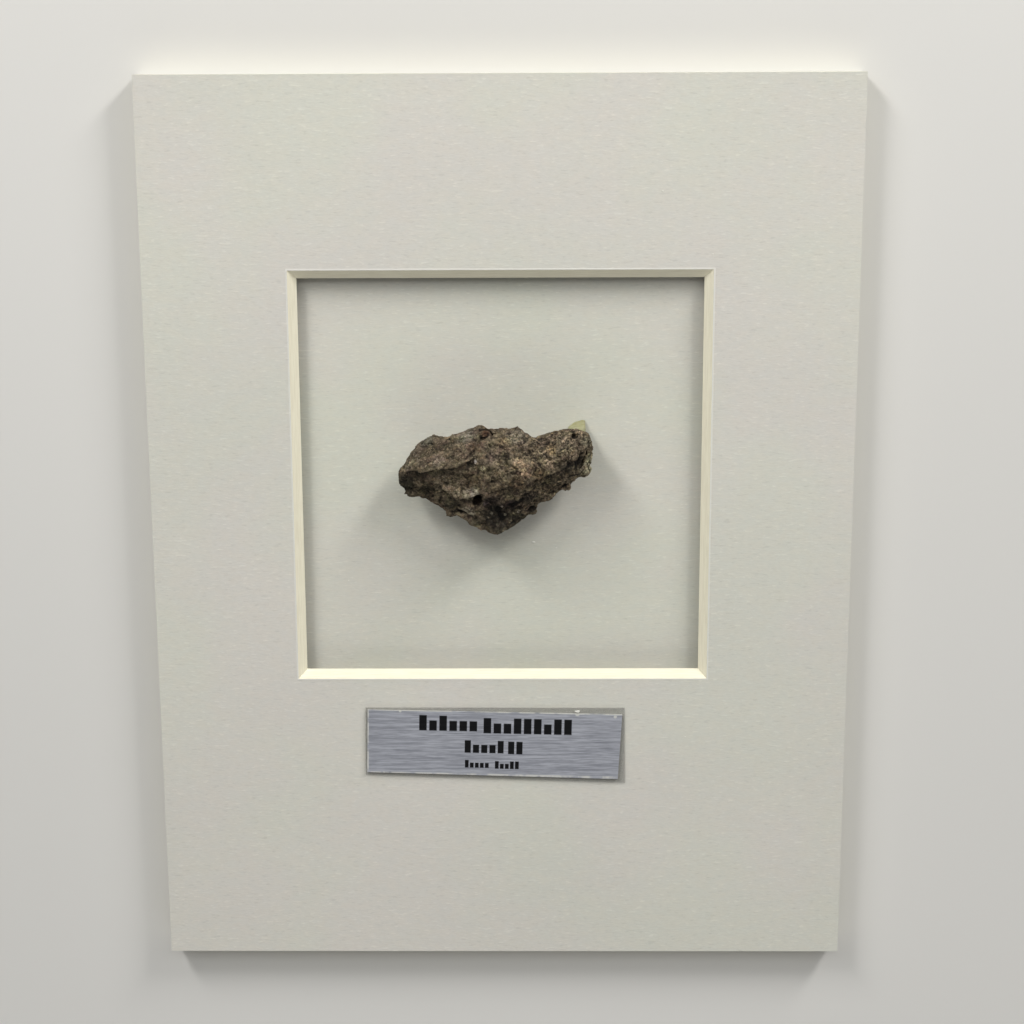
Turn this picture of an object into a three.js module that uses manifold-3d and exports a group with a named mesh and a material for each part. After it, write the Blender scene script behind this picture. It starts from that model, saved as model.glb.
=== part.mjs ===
// A lunar meteorite fragment glued in the window of a small display mat, with its label plate.
// Units are millimetres and +Z is up: the display lies on its back and the label reads towards +Y.
// The origin is the centre of the backing board's underside.
import * as THREE from "three";
import { ConvexGeometry } from "three/addons/geometries/ConvexGeometry.js";
import { ImprovedNoise } from "three/addons/math/ImprovedNoise.js";
import { mergeVertices } from "three/addons/utils/BufferGeometryUtils.js";
import Module from "manifold-3d";

const wasm = await Module();
wasm.setup();

// Driving dimensions of the two boards
const BOARD_WIDTH = 118;
const BOARD_HEIGHT = 152;
const BOARD_THICKNESS = 1.4;
const TAPE_GAP = 0.3;
const WINDOW_SIDE = 70;
const WINDOW_CENTRE = new THREE.Vector2(0, 9.5);
const BACKING_TOP = BOARD_THICKNESS;

// The mat's lower layer is set back from the window, so the bevelled edge stands clear of the
// backing board.
const LINING_THICKNESS = 1.7;
const LINING_SETBACK = 3;
const MAT_THICKNESS = LINING_THICKNESS + BOARD_THICKNESS;
const MAT_BOTTOM = BACKING_TOP + TAPE_GAP;
const MAT_TOP = MAT_BOTTOM + MAT_THICKNESS;

// Label: a brushed plate a little askew on its clear adhesive film. Corners go clockwise from
// the top left one.
const FILM_CORNERS = [[-23.6, -30.6], [21.0, -30.7], [21.2, -44.3], [-23.8, -42.8]];
const FILM_THICKNESS = 0.15;
const PLATE_CORNERS = [[-23.2, -30.9], [20.6, -31.8], [19.9, -43.5], [-23.5, -42.2]];
const PLATE_THICKNESS = 0.3;
const LABEL_GAP = 0.1;

// Stone: positions are measured from its origin, on the face of the backing board
const STONE_ORIGIN = new THREE.Vector2(0, 9.08);
const STONE_LIFT = 0.3;
const STONE_CORE = new THREE.Vector3(-0.5, 1.5, 5);
const STONE_HALF_SIZE = new THREE.Vector3(17, 9.5, 6.5);
const STONE_DETAIL = 19;
const EDGE_WEAR = 0.03;
const WEAR_RAYS = 6;

// The stone broke along flat faces. Each block is the convex hull of its corners, and the
// stone is all the blocks together.
const STONE_BLOCKS = {
  leftWedge: [
    [-17.3, 0.4, 5], [-17.2, 2.0, 5], [-16.4, 4.0, 5], [-15.4, 5.5, 4.8], [-14.1, 7.2, 4.7],
    [-11.6, 7.9, 4.9], [-7.0, 8.9, 5.7], [-4.6, 9.8, 6], [-3.0, 10.0, 6.1], [-15.8, 3.4, 6.6],
    [-14.4, 2.9, 8.2], [-12.6, 2.8, 9.3], [-8.5, 3.6, 10.6], [-4.4, 5.4, 10.7], [-2.4, 7.4, 9.6],
    [-17.0, 0.0, 5], [-15.9, -1.3, 5], [-14.5, -1.9, 5.1], [-14.4, 0.9, 7.3], [-12.0, 0.4, 7.6],
    [-7.0, 1.0, 8.6], [-4.2, 2.8, 9.9], [-13.0, 1.5, 2], [-10.0, 5.0, 1.6], [-6.0, -1.0, 0],
    [-6.0, 4.0, 0],
  ],
  lowerShelf: [
    [-14.4, -1.8, 5.1], [-11.0, -2.8, 5.6], [-9.2, -5.1, 5.8], [-7.7, -5.4, 6], [-12.3, 0.3, 6.8],
    [-9.9, -2.0, 7.4], [-7.4, -2.4, 7.9], [-10.3, 0.6, 7.8], [-5.2, 1.5, 9.2], [-3.6, 2.6, 10.2],
    [-3.4, -1.9, 9.4], [-4.6, -2.5, 8.5], [-8.0, -2.5, 2.2], [-5.0, -3.0, 1.2], [-3.0, 1.0, 1],
  ],
  centre: [
    [-5.0, 9.3, 6], [-2.6, 9.9, 6], [2.6, 9.7, 6], [4.4, 8.8, 6.2], [5.6, 8.2, 6.4],
    [-2.4, 7.6, 9.3], [3.3, 8.0, 9], [-4.4, 5.4, 10.7], [-3.9, 2.7, 10.3], [0.1, 4.0, 11.3],
    [3.3, 3.5, 11.2], [-3.6, -1.8, 9.6], [-0.1, -1.2, 10.8], [2.5, 0.1, 10.8], [4.9, 0.8, 10.2],
    [7.4, 1.6, 9.7], [7.4, 5.4, 9.5], [-4.0, 6.5, 0], [4.0, 5.5, 0], [5.0, 0, 0],
    [-5.0, -2.0, 0],
  ],
  southTip: [
    [-8.6, -5.3, 6], [-6.6, -5.4, 6.1], [-5.0, -5.8, 6.2], [-3.2, -7.2, 6.4], [-0.7, -8.4, 6.4],
    [1.6, -7.4, 6.4], [4.1, -5.5, 6.4], [5.8, -3.9, 6.4], [-3.5, -1.9, 9.4], [-1.7, -4.4, 8.6],
    [0.8, -3.9, 8.8], [-0.1, -1.3, 10.6], [2.5, -0.1, 10.6], [4.9, 0.6, 10], [4.9, -1.6, 8.8],
    [-3.0, -4.5, 1.6], [1.5, -4.5, 1.5], [-4.0, 0, 0.5], [4.0, 0, 0.5],
  ],
  rightArm: [
    [5.7, 8.2, 6.4], [9.7, 9.5, 5.8], [13.2, 9.9, 6], [14.7, 9.7, 6.2], [15.2, 8.6, 6.4],
    [9.0, 7.9, 8.3], [13.4, 8.5, 7.8], [11.8, 6.2, 9.2], [9.4, 5.2, 9.7], [6.6, 5.8, 9.8],
    [14.3, 6.6, 8], [12.4, 4.4, 8.8], [9.8, 2.6, 9.3], [7.4, 1.6, 9.8], [4.9, 0.8, 10.1],
    [5.7, -3.7, 6.4], [8.3, -2.0, 6], [11.3, -0.5, 5.8], [13.0, 1.0, 5.8], [6.0, 1.0, 1.6],
    [11.5, 5.5, 3], [7.0, 6.5, 2.2],
  ],
  rightEnd: [
    [15.0, 7.4, 6.2], [15.1, 5.9, 5.6], [15.7, 3.5, 5], [15.4, 2.5, 5], [14.3, 1.5, 5.4],
    [12.8, 0.9, 5.7], [14.0, 6.6, 7.3], [13.3, 3.6, 7.3], [9.0, 1.0, 5], [14.4, 4.0, 2.8],
    [11.5, 2.5, 2.4], [9.0, 6.0, 5],
  ],
};

// Local lumps (height above 0) and hollows (below 0), each a smooth bell of its own radius
const STONE_LUMPS = [
  { name: "north knob", at: [-2.8, 9.9, 6.2], radius: 0.9, height: 0.4 },
  { name: "north peak", at: [2.7, 9.8, 6.2], radius: 1.0, height: 0.35 },
  { name: "groove below the knob", at: [-3.2, 8.3, 8.0], radius: 0.9, height: -0.5 },
  { name: "left shoulder bump", at: [-10.8, 7.9, 5.2], radius: 0.9, height: 0.35 },
  { name: "notch beside the bump", at: [-9.2, 8.2, 5.8], radius: 1.0, height: -0.7 },
  { name: "hollow on the left face", at: [-10.5, 5.4, 8.2], radius: 1.8, height: -0.35 },
  { name: "swell on the left face", at: [-13.2, 4.6, 7.6], radius: 1.4, height: 0.3 },
  { name: "hollow under the left crest", at: [-9.0, 1.9, 9.0], radius: 1.5, height: -0.35 },
  { name: "left lower tooth", at: [-14.8, -2.0, 5], radius: 0.8, height: 0.6 },
  { name: "lower tooth", at: [-8.9, -5.8, 5.8], radius: 0.7, height: 0.9 },
  { name: "hollow above the tooth", at: [-7.5, -4.3, 6.6], radius: 1.0, height: -0.5 },
  { name: "lip left of the pit", at: [-5.2, -1.5, 8.9], radius: 0.9, height: 0.3 },
  { name: "tip knob", at: [5.6, -4.5, 6.4], radius: 0.7, height: 0.7 },
  { name: "arm knob", at: [11.2, -0.8, 5.8], radius: 0.8, height: 0.5 },
  { name: "arm hollow", at: [8.6, 0.4, 8.2], radius: 1.6, height: -0.5 },
  { name: "hollow above the tip", at: [1.2, -4.2, 8.6], radius: 1.5, height: -0.5 },
  { name: "dimple on the face", at: [4.8, 6.2, 9.9], radius: 1.4, height: -0.5 },
  { name: "swell on the face", at: [2.6, 2.4, 11], radius: 1.8, height: 0.3 },
];

// Deepest pits and cracks: each is a rounded cut of the given half sizes, turned about Z
const STONE_PITS = [
  { name: "round pit", at: [-3.8, -2.0, 8.7], halfSize: [0.7, 0.9, 1.5], turn: -20 },
  { name: "crevice beside the knob", at: [-1.7, 9.0, 7.0], halfSize: [1.2, 0.3, 0.9], turn: -50 },
  { name: "crevice below the knob", at: [-2.6, 8.1, 8.2], halfSize: [1.1, 0.28, 0.7], turn: -20 },
  { name: "horn pit", at: [12.3, 8.6, 7.4], halfSize: [0.7, 0.45, 0.8], turn: 10 },
  { name: "crack, upper part", at: [14.4, 6.4, 7.3], halfSize: [0.25, 1.5, 1.0], turn: -22 },
  { name: "crack, lower part", at: [13.4, 3.9, 7.5], halfSize: [0.3, 1.6, 1.2], turn: -25 },
];
const PIT_SEGMENTS = 12;
const PIT_RINGS = 8;

// Weathered relief: wavelength and height of each layer
const STONE_RELIEF = [
  { wavelength: 4.6, height: 0.45 },
  { wavelength: 2.4, height: 0.38 },
  { wavelength: 1.5, height: 0.28 },
];

// Adhesive dab that carries the right arm: profile radius at each height, from the board up,
// stretched and then turned about Z.
const DAB_CENTRE = new THREE.Vector2(12.7, 8.2);
const DAB_STRETCH = new THREE.Vector2(1.9, 1.0);
const DAB_TURN = 55;
const DAB_PROFILE = [
  [0, 0], [1.0, 0], [1.05, 0.25], [0.95, 0.7], [0.75, 1.3], [0.55, 2.2], [0.45, 3.1], [0.4, 3.6],
  [0, 3.7],
];
const DAB_SIDES = 24;
const DAB_LIFT = 0.1;

const MATERIALS = {
  board: new THREE.MeshStandardMaterial({ name: "mat_board", color: 0xc6c5ba, roughness: 0.9 }),
  stone: new THREE.MeshStandardMaterial({ name: "meteorite", color: 0x574c3e, roughness: 0.75 }),
  adhesive: new THREE.MeshStandardMaterial({ name: "adhesive", color: 0xb9b78c, roughness: 0.35 }),
  plate: new THREE.MeshStandardMaterial({
    name: "brushed_plate", color: 0x8b8e96, roughness: 0.4, metalness: 0.8,
  }),
  film: new THREE.MeshStandardMaterial({
    name: "clear_film", color: 0xd4d4cc, roughness: 0.2, transparent: true, opacity: 0.5,
  }),
};

// A closed geometry with shared vertices merged, as a solid that can be joined or cut.
function toSolid(geometry) {
  const bare = geometry.clone();
  bare.deleteAttribute("normal");
  bare.deleteAttribute("uv");
  const merged = mergeVertices(bare, 1e-4);
  return new wasm.Manifold(new wasm.Mesh({
    numProp: 3,
    vertProperties: new Float32Array(merged.attributes.position.array),
    triVerts: new Uint32Array(merged.index.array),
  }));
}

function toGeometry(solid) {
  const mesh = solid.getMesh();
  const geometry = new THREE.BufferGeometry();
  geometry.setAttribute("position", new THREE.BufferAttribute(mesh.vertProperties, 3));
  geometry.setIndex(new THREE.BufferAttribute(mesh.triVerts, 1));
  geometry.computeVertexNormals();
  return geometry;
}

function namedMesh(name, geometry, material, x, y, z) {
  const mesh = new THREE.Mesh(geometry, material);
  mesh.name = name;
  mesh.position.set(x, y, z);
  return mesh;
}

function backingBoard() {
  const geometry = new THREE.BoxGeometry(BOARD_WIDTH, BOARD_HEIGHT, BOARD_THICKNESS);
  return namedMesh("backing_board", geometry, MATERIALS.board, 0, 0, BOARD_THICKNESS / 2);
}

// The mat's window has a 45 degree bevel, widest at the face.
function windowMat() {
  const board = new THREE.BoxGeometry(BOARD_WIDTH, BOARD_HEIGHT, MAT_THICKNESS);
  board.translate(0, 0, MAT_THICKNESS / 2);
  const overcut = 0.5;
  const cutHeight = BOARD_THICKNESS + 2 * overcut;
  const halfAtFace = WINDOW_SIDE / 2;
  const cornerRadius = (half) => half * Math.SQRT2;
  const cutter = new THREE.CylinderGeometry(
    cornerRadius(halfAtFace + overcut),
    cornerRadius(halfAtFace + overcut - cutHeight),
    cutHeight,
    4,
  );
  cutter.rotateY(Math.PI / 4);
  cutter.rotateX(Math.PI / 2);
  cutter.translate(WINDOW_CENTRE.x, WINDOW_CENTRE.y, MAT_THICKNESS - BOARD_THICKNESS / 2);
  const recessSide = WINDOW_SIDE + 2 * LINING_SETBACK;
  const recess = new THREE.BoxGeometry(recessSide, recessSide, 2 * LINING_THICKNESS);
  recess.translate(WINDOW_CENTRE.x, WINDOW_CENTRE.y, 0);
  const cut = toSolid(board).subtract(toSolid(cutter)).subtract(toSolid(recess));
  return namedMesh("window_mat", toGeometry(cut), MATERIALS.board, 0, 0, MAT_BOTTOM);
}

// A flat sheet of the given corners, its underside at the given height.
function sheet(name, corners, thickness, material, z) {
  const shape = new THREE.Shape(corners.map(([x, y]) => new THREE.Vector2(x, y)));
  const geometry = new THREE.ExtrudeGeometry(shape, { depth: thickness, bevelEnabled: false });
  return namedMesh(name, geometry, material, 0, 0, z);
}

function labelFilm() {
  return sheet("label_film", FILM_CORNERS, FILM_THICKNESS, MATERIALS.film, MAT_TOP + LABEL_GAP);
}

function labelPlate() {
  const z = MAT_TOP + 2 * LABEL_GAP + FILM_THICKNESS;
  return sheet("label_plate", PLATE_CORNERS, PLATE_THICKNESS, MATERIALS.plate, z);
}

// The outward planes of a block's hull.
function blockPlanes(corners) {
  const hull = new ConvexGeometry(corners.map((corner) => new THREE.Vector3(...corner)));
  const position = hull.attributes.position;
  const planes = [];
  for (let i = 0; i < position.count; i += 3) {
    const [a, b, c] = [0, 1, 2].map((k) => new THREE.Vector3().fromBufferAttribute(position, i + k));
    planes.push(new THREE.Plane().setFromCoplanarPoints(a, b, c));
  }
  return planes;
}

// How far along a ray from the stone's core a block ends, or 0 where the ray misses it.
function blockReach(planes, direction) {
  let enter = 0;
  let leave = Infinity;
  for (const plane of planes) {
    const slope = plane.normal.dot(direction);
    const distance = -plane.distanceToPoint(STONE_CORE) / slope;
    if (slope > 0) leave = Math.min(leave, distance);
    if (slope < 0) enter = Math.max(enter, distance);
  }
  return enter < leave ? leave : 0;
}

// The farthest block along a ray. Averaging a narrow cone of rays wears the edges round.
function stoneReach(blocks, direction) {
  const side = new THREE.Vector3(-direction.y, direction.x, 0.01).normalize();
  const up = new THREE.Vector3().crossVectors(direction, side);
  let total = 0;
  for (let i = 0; i < WEAR_RAYS; i++) {
    const angle = (2 * Math.PI * i) / WEAR_RAYS;
    const ray = direction.clone();
    ray.addScaledVector(side, EDGE_WEAR * Math.cos(angle));
    ray.addScaledVector(up, EDGE_WEAR * Math.sin(angle));
    ray.normalize();
    total += Math.max(...blocks.map((planes) => blockReach(planes, ray)));
  }
  return total / WEAR_RAYS;
}

function reliefAt(noise, point) {
  let height = 0;
  for (const layer of STONE_RELIEF) {
    const scaled = point.clone().divideScalar(layer.wavelength);
    height += layer.height * noise.noise(scaled.x, scaled.y, scaled.z);
  }
  for (const lump of STONE_LUMPS) {
    const far = point.distanceTo(new THREE.Vector3(...lump.at)) / lump.radius;
    height += lump.height * Math.exp(-far * far);
  }
  return height;
}

// A fine ball is drawn in to the blocks along rays from the core, then given its relief. What
// would reach under the board's face is levelled, which leaves the flat spot it rests on.
function stoneBody() {
  const blocks = Object.values(STONE_BLOCKS).map(blockPlanes);
  const noise = new ImprovedNoise();
  const ball = new THREE.IcosahedronGeometry(1, STONE_DETAIL);
  ball.deleteAttribute("normal");
  ball.deleteAttribute("uv");
  const geometry = mergeVertices(ball, 1e-4);
  const position = geometry.attributes.position;
  for (let i = 0; i < position.count; i++) {
    const direction = new THREE.Vector3().fromBufferAttribute(position, i);
    direction.multiply(STONE_HALF_SIZE).normalize();
    const point = STONE_CORE.clone().addScaledVector(direction, stoneReach(blocks, direction));
    point.addScaledVector(direction, reliefAt(noise, point));
    position.setXYZ(i, point.x, point.y, Math.max(point.z, 0));
  }
  return geometry;
}

function stonePit(pit) {
  const geometry = new THREE.SphereGeometry(1, PIT_SEGMENTS, PIT_RINGS);
  geometry.rotateX(Math.PI / 2);
  geometry.scale(...pit.halfSize);
  geometry.rotateZ(THREE.MathUtils.degToRad(pit.turn));
  geometry.translate(...pit.at);
  return toSolid(geometry);
}

function meteorite() {
  let solid = toSolid(stoneBody());
  for (const pit of STONE_PITS) solid = solid.subtract(stonePit(pit));
  return namedMesh(
    "meteorite", toGeometry(solid), MATERIALS.stone,
    STONE_ORIGIN.x, STONE_ORIGIN.y, BACKING_TOP + STONE_LIFT,
  );
}

function adhesiveDab() {
  const profile = DAB_PROFILE.map(([radius, height]) => new THREE.Vector2(radius, height));
  const geometry = new THREE.LatheGeometry(profile, DAB_SIDES);
  geometry.rotateX(Math.PI / 2);
  geometry.scale(DAB_STRETCH.x, DAB_STRETCH.y, 1);
  geometry.rotateZ(THREE.MathUtils.degToRad(DAB_TURN));
  return namedMesh(
    "adhesive_dab", geometry, MATERIALS.adhesive,
    STONE_ORIGIN.x + DAB_CENTRE.x, STONE_ORIGIN.y + DAB_CENTRE.y, BACKING_TOP + DAB_LIFT,
  );
}

const display = new THREE.Group();
display.name = "lunar_meteorite_display";
display.add(backingBoard(), windowMat(), labelFilm(), labelPlate(), meteorite(), adhesiveDab());

export default display;
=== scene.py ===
"""Looks of a lunar meteorite fragment glued in the window of a pale display mat."""
import math

import bpy
import numpy as np
from mathutils import Matrix, Vector


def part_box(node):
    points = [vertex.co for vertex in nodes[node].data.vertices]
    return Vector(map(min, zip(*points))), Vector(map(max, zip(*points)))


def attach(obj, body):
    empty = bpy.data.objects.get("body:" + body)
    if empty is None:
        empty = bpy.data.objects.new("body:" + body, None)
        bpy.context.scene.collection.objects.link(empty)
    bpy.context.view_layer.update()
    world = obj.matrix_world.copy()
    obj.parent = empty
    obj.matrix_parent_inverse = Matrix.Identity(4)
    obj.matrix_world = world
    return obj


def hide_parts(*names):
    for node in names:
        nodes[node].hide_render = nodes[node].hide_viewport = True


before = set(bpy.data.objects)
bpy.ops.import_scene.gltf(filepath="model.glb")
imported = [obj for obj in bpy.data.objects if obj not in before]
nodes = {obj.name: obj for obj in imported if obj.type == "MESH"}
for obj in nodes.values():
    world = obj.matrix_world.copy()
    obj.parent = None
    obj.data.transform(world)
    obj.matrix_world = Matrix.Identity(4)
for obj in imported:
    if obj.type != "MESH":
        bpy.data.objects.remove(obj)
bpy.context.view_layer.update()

MM = 0.001

# Places in the part's frame, in millimetres
WINDOW_CENTRE = (0.0, 9.5)
WINDOW_HALF = 35.0
STONE_ORIGIN = np.array((0.0, 9.08, 1.7))
BACKING_TOP = 1.4
LINING_TOP = 3.4
LINING_REACH = 4.0
MAT_TOP = 4.8
PLATE_TOP = 5.45

# Camera: found from the corners of the mat's window in the photograph
CAMERA_PLACE = (5.52, 78.29, 330.4)
CAMERA_AXES = (
    (0.9999, -0.0043, -0.0105),
    (0.0018, 0.9748, -0.2229),
    (0.0112, 0.2229, 0.9748),
)
CAMERA_LENS = 69.76

# Stone: mesh step, smoothing, how far the relief's middle lies below the plain stone, how many
# rounds of smoothing give a point's surroundings, how strong the grain is in the smoother west and
# the gritty east, and how the streaks lie
STONE_STEP = 0.135
STONE_SMOOTHING = 10
STONE_SINK = 0.06
SURROUNDINGS_ROUNDS = 24
WEST_GRIT = 0.75
EAST_GRIT = 1.4
STREAK_ANGLE = math.radians(25)

# Tints of the stone, each a soft patch: place from the stone's origin, radius, colour. They cover
# the base colour, and are then drawn apart and made lighter
STONE_BASE = "5d5446"
TINT_STRENGTH = 0.92
TINT_CONTRAST = 1.12
TINT_GAIN = 1.34
# The darkest patches, on the south faces and under the crests, are partly the stone's own colour and
# partly painted shade
STONE_TINTS = [
    ((-12.3, 7.3, 5.4), 1.3, "555349"),
    ((-14.0, 5.2, 6.6), 1.8, "5d5549"),
    ((-11.8, 5.8, 7.0), 1.6, "5c5344"),
    ((-10.4, 4.7, 8.8), 1.3, "6f6658"),
    ((-5.8, 8.8, 7.2), 1.8, "69645a"),
    ((-15.5, 3.5, 6.9), 1.2, "6c6457"),
    ((-14.3, 2.0, 7.9), 1.7, "3f382d"),
    ((-7.3, 4.2, 10.5), 1.5, "5c5345"),
    ((-5.8, -0.9, 8.9), 0.9, "877e6e"),
    ((-4.4, -0.6, 9.3), 1.0, "9e9789"),
    ((-15.9, 0.2, 5.9), 1.9, "2a271e"),
    ((-12.4, -0.6, 6.6), 1.9, "363125"),
    ((-9.5, 0.9, 8.1), 1.6, "756b5b"),
    ((-7.4, -0.7, 8.6), 1.2, "8a7e6a"),
    ((-4.8, 1.9, 9.8), 1.6, "574d3e"),
    ((-3.9, 7.3, 9.4), 1.5, "51453a"),
    ((-2.5, 9.0, 7.2), 0.9, "493629"),
    ((0.5, 7.8, 9.0), 1.6, "605545"),
    ((2.7, 8.5, 7.6), 1.7, "6d665a"),
    ((-1.6, 5.7, 10.2), 1.6, "60564a"),
    ((0.9, 4.9, 10.5), 1.2, "534c3e"),
    ((3.5, 4.0, 10.7), 1.5, "706354"),
    ((5.5, 7.0, 8.9), 1.1, "52493c"),
    ((8.1, 6.3, 9.5), 1.3, "6a6052"),
    ((7.8, 4.4, 9.8), 1.0, "6e6250"),
    ((10.1, 7.5, 8.5), 1.6, "625a4c"),
    ((14.3, 7.5, 7.5), 1.1, "6e695a"),
    ((14.7, 3.4, 6.0), 2.0, "807c69"),
    ((-0.9, 0.5, 10.8), 1.3, "5d5343"),
    ((2.7, 1.4, 10.8), 1.5, "5c5140"),
    ((6.6, 2.4, 9.9), 1.4, "4d4332"),
    ((11.0, 3.6, 9.1), 1.3, "443e35"),
    ((12.7, 3.6, 8.1), 0.9, "3b362c"),
    ((7.6, 0.3, 8.0), 1.7, "585040"),
    ((-8.4, -2.9, 7.1), 1.5, "3c372c"),
    ((-5.2, -4.1, 7.5), 1.1, "7a7466"),
    ((-1.4, -2.1, 9.7), 1.8, "3b322c"),
    ((-0.5, -5.0, 8.4), 2.6, "26221c"),
    ((2.7, -5.2, 7.4), 1.6, "302d23"),
    ((4.8, -1.9, 8.6), 1.4, "3d362f"),
    ((1.6, -2.6, 8.9), 1.2, "2b2122"),
    ((-2.5, -2.6, 9.3), 0.7, "4f4645"),
    ((-6.2, -4.4, 6.8), 0.7, "736c60"),
    ((-4.4, -6.2, 6.8), 0.9, "66604f"),
    ((0.2, -7.6, 6.6), 1.0, "5b574a"),
    ((2.1, -4.3, 7.8), 0.7, "4d4839"),
    ((5.1, -3.4, 7.0), 0.5, "6b675a"),
]

# Single grains that stand out: place, radius, colour
STONE_GRAINS = [
    ((-2.96, 3.82, 10.6), 0.40, "b0a58e"),
    ((-3.00, 3.80, 10.6), 0.16, "6f675a"),
    ((-4.13, 5.20, 10.6), 0.15, "aaa59a"),
    ((-4.16, 4.90, 10.6), 0.20, "d6d2c8"),
    ((-4.21, 4.60, 10.5), 0.14, "b3ada1"),
    ((2.90, 4.85, 10.5), 0.62, "7c6e5e"),
    ((3.45, 4.50, 10.5), 0.50, "7c6d5a"),
    ((2.30, 4.10, 10.9), 0.50, "7d6e5a"),
    ((3.90, 3.10, 10.9), 0.60, "7a6a57"),
    ((4.70, 2.60, 10.8), 0.40, "7a6b59"),
    ((7.70, 4.60, 9.8), 0.55, "7d7160"),
    ((8.10, 3.90, 9.8), 0.40, "786c5a"),
    ((8.30, 6.60, 9.4), 0.90, "766852"),
    ((-10.4, 4.70, 8.8), 0.50, "857b6c"),
    ((-9.60, 5.00, 9.1), 0.40, "7d7465"),
    ((-7.30, -0.80, 8.6), 0.60, "8a806d"),
    ((-5.30, -0.30, 9.1), 0.45, "8f8776"),
    ((-4.40, -0.10, 9.4), 0.35, "857d6e"),
    ((0.90, 5.50, 10.3), 0.40, "342c22"),
    ((-1.40, -3.30, 9.0), 0.50, "26211b"),
    ((2.00, -3.40, 8.6), 0.45, "241f1a"),
    ((-6.80, -4.40, 6.9), 0.45, "1b1813"),
    ((12.9, 4.30, 8.1), 0.60, "1f1b15"),
    ((-1.60, -4.30, 8.6), 0.28, "7a7466"),
    ((0.80, -4.60, 8.2), 0.22, "7d776a"),
    ((1.60, -5.80, 7.6), 0.30, "6b6656"),
    ((-0.60, -6.30, 7.5), 0.26, "716b5c"),
    ((-2.20, -5.20, 8.0), 0.24, "817b6d"),
    ((2.90, -4.20, 7.8), 0.22, "7c766a"),
    ((0.20, -3.00, 9.0), 0.20, "6f6662"),
]

# Pits and grooves of the stone: both ends from its origin, radius, depth, and how dark the painted
# shade in it is
STONE_PITS = [
    ((-3.96, -2.06, 8.3), (-3.96, -2.06, 8.3), 0.95, 0.15, 1.0),
    ((1.0, 4.7, 10.6), (1.2, 4.6, 10.6), 0.25, 0.25, 0.7),
    ((10.5, -0.2, 6.6), (10.8, 0.1, 6.6), 0.45, 0.35, 1.0),
    ((5.0, -3.9, 7.1), (5.3, -3.8, 6.9), 0.60, 0.40, 1.0),
    ((-7.4, -4.2, 6.5), (-6.2, -4.7, 6.7), 0.38, 0.30, 0.9),
    ((-11.4, -1.8, 6.5), (-11.2, -1.7, 6.5), 0.33, 0.20, 0.9),
    ((-2.2, -3.2, 9.0), (-1.6, -3.9, 8.8), 0.50, 0.20, 0.8),
    ((-0.5, -3.4, 9.0), (0.3, -5.2, 8.0), 0.62, 0.30, 0.95),
    ((1.9, -2.9, 8.6), (3.4, -2.0, 8.9), 0.62, 0.25, 0.9),
    ((-3.4, 9.4, 7.0), (-2.2, 9.4, 6.5), 0.28, 0.18, 0.9),
    ((-3.4, 8.8, 7.5), (-3.0, 8.2, 7.8), 0.26, 0.12, 0.8),
    ((-3.0, 8.2, 7.8), (-2.0, 8.5, 7.8), 0.28, 0.18, 0.9),
    ((-2.0, 8.8, 7.4), (-1.1, 8.9, 7.3), 0.30, 0.20, 0.9),
    ((-2.6, 9.0, 7.2), (-2.1, 8.9, 7.3), 0.22, 0.10, 0.7),
    ((14.5, 7.6, 7.2), (14.2, 6.6, 7.4), 0.26, 0.25, 0.9),
    ((14.2, 6.6, 7.4), (13.4, 5.5, 8.3), 0.40, 0.30, 0.95),
    ((13.4, 5.5, 8.3), (12.7, 3.6, 8.2), 0.65, 0.25, 0.9),
    ((12.6, 4.2, 8.6), (11.4, 4.0, 9.1), 0.60, 0.20, 0.85),
]

# Knobs that stand out on the stone's outline: place from its origin, radius and height
STONE_KNOBS = [
    ((-16.8, 0.9, 5.2), 2.2, 0.30),
    ((-14.8, -1.5, 5.2), 0.8, 0.45),
    ((-12.0, 7.6, 5.2), 1.0, 0.35),
    ((-8.0, 8.3, 6.2), 0.6, 0.35),
    ((-8.6, -5.0, 5.8), 0.8, 0.45),
    ((-3.2, -7.2, 6.3), 0.7, 0.35),
    ((-0.8, -7.8, 6.8), 1.5, 0.30),
    ((5.5, -4.3, 6.4), 0.8, 0.45),
    ((11.0, -0.6, 6.0), 0.7, 0.40),
    ((14.4, 1.9, 5.6), 1.0, 0.35),
    ((12.4, 8.8, 6.7), 0.7, 0.35),
    ((12.9, 8.2, 3.9), 1.3, 0.45),
]

# Broken edges of the stone, seen from above: how far the south side drops, how wide the drop is,
# how dark the painted shade below the edge is, and the points of the edge from west to east
STONE_LEDGES = [
    (0.35, 2.2, 0.70, [(-16.5, 1.7), (-15.6, 2.6), (-14.3, 2.9), (-12.3, 2.8), (-11.1, 3.5),
                       (-9.5, 3.75), (-7.2, 4.05), (-5.8, 4.6), (-4.4, 5.5)]),
    (0.22, 1.5, 0.55, [(-10.2, 0.7), (-9.2, -0.7), (-8.1, -1.6), (-6.7, -1.8), (-5.3, -1.5),
                       (-4.4, -1.1), (-2.6, -0.6)]),
    (0.25, 1.4, 0.45, [(-8.3, -4.0), (-6.7, -4.1), (-5.3, -4.6), (-3.4, -5.1), (-2.0, -6.4)]),
    (0.20, 2.8, 0.50, [(-2.0, -0.3), (0.3, 0.5), (2.6, 1.0), (4.9, 1.5), (6.3, 1.8), (8.3, 2.5),
                       (10.2, 3.4), (11.6, 4.5)]),
    (0.20, 1.0, 0.45, [(-14.4, 5.6), (-13.6, 6.3), (-11.5, 7.2), (-8.9, 7.6), (-6.5, 8.6),
                       (-4.3, 9.6)]),
    (0.20, 1.0, 0.40, [(1.6, -3.6), (4.0, -2.6), (6.3, -1.9), (8.4, -1.1), (10.3, -0.2)]),
]
LEDGE_FOOT = 3.5

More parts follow.
